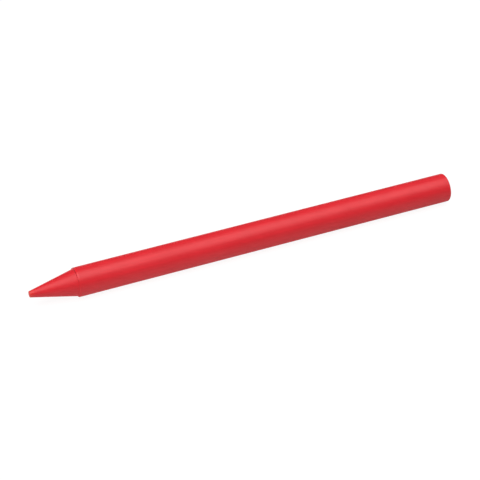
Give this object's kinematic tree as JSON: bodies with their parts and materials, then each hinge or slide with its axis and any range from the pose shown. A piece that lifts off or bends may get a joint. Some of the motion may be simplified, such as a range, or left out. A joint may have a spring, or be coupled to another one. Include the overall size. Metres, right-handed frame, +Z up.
{
  "type": "twist crayon",
  "caption": "Slim round twist crayon with a plain barrel and a conical nose that turns in its mouth to wind a thin coloured core out of the blunt tip.",
  "frame": {"origin": "on the surface it lies on, under the middle of its length", "axes": "+X along the crayon's axis towards its rear end, so the point is at -X; +Z up from the surface it lies on"},
  "size_m": [0.1384, 0.009, 0.009],
  "materials": {
    "barrel_plastic": "satin moulded red plastic",
    "plug_plastic": "satin moulded red plastic",
    "nose_plastic": "satin moulded red plastic",
    "core_wax": "dull, slightly greasy wax",
    "sleeve_plastic": "natural white acetal",
    "tube_plastic": "natural white acetal",
    "bearing_plastic": "natural white acetal",
    "carrier_plastic": "natural white acetal",
    "chuck_brass": "turned brass",
    "ring_steel": "bright spring steel",
    "ring_rubber": "black moulded rubber"
  },
  "bodies": {
    "barrel": {"barrel": "barrel_plastic", "end_plug": "plug_plastic", "spiral_sleeve": "sleeve_plastic", "retaining_ring": "ring_steel"},
    "nose": {"nose_cone": "nose_plastic", "friction_ring": "ring_rubber", "guide_tube": "tube_plastic", "tail_bearing": "bearing_plastic"},
    "carrier": {"carrier": "carrier_plastic", "core_chuck": "chuck_brass", "crayon_core": "core_wax"}
  },
  "joints": [
    {"name": "twist", "type": "hinge", "parent": "barrel", "child": "nose", "pos_m": [0, 0, 0.0045], "axis": [1, 0, 0], "range_deg": [-90, 6300]},
    {"name": "core_feed", "type": "slide", "parent": "nose", "child": "carrier", "axis": [-1, 0, 0], "range_m": [-0.001, 0.07]}
  ],
  "couplings": [
    {"joint": "twist", "follows": "core_feed", "rad_per_m": 1570.8}
  ]
}
